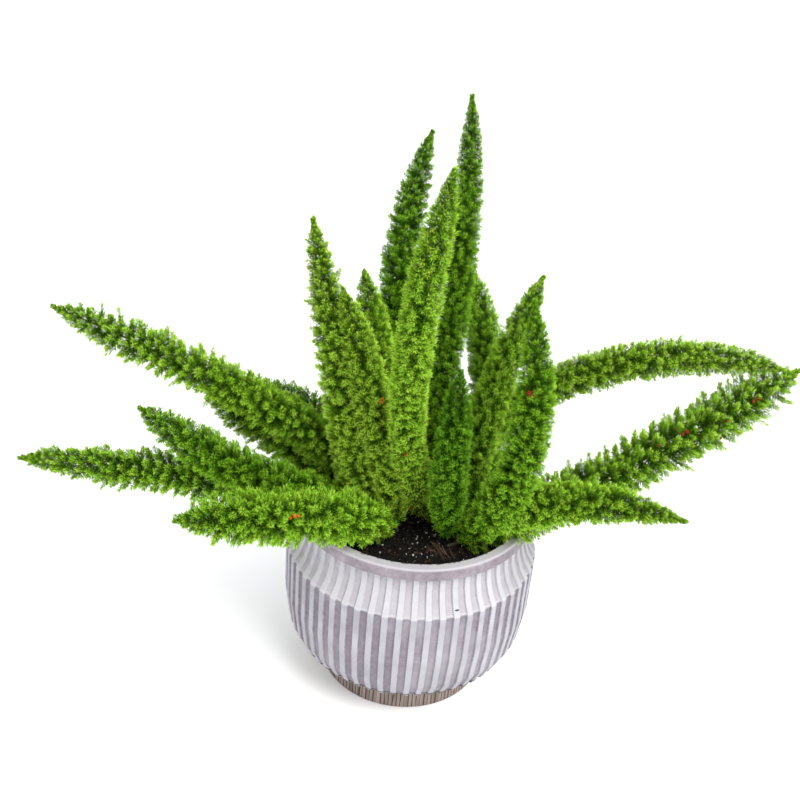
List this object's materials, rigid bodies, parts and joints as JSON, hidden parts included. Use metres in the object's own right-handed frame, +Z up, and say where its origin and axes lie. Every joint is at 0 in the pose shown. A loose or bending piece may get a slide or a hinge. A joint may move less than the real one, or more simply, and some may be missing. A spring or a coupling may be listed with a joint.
{
  "type": "potted foxtail fern",
  "caption": "Foxtail asparagus fern with bottle-brush plumes of fine green needles, growing in a ribbed ceramic bowl planter with a plain rim band and a recessed foot.",
  "frame": {"origin": "centre of the pot's flat underside, which stands on z = 0", "axes": "+Z up; +X to the right as the plant is seen from the front, along its widest spread; +Y to the back"},
  "size_m": [0.794, 0.4687, 0.6663],
  "materials": {
    "pot": "matte",
    "soil": "matte",
    "foliage": "matte",
    "dry_stem": "matte"
  },
  "bodies": {
    "root": {"pot": "pot", "soil": "soil", "plume_tallest_back": "foliage", "plume_tall_left_back": "foliage", "plume_tall_centre": "foliage", "plume_mid_right_back": "foliage", "plume_lean_right_back": "foliage", "plume_upright_right": "foliage", "plume_upright_left": "foliage", "plume_behind_left": "foliage", "plume_high_left": "foliage", "plume_mid_left": "foliage", "plume_low_left": "foliage", "plume_short_left": "foliage", "plume_front_left": "foliage", "plume_arch_right": "foliage", "plume_long_right": "foliage", "plume_front_right": "foliage", "plume_centre_front": "foliage", "plume_small_front": "foliage", "plume_upright_front": "foliage", "plume_back_right": "foliage", "plume_back": "foliage", "plume_back_left": "foliage", "plume_far_left": "foliage", "bare_stem_left": "dry_stem", "bare_stem_right": "dry_stem"}
  },
  "joints": []
}
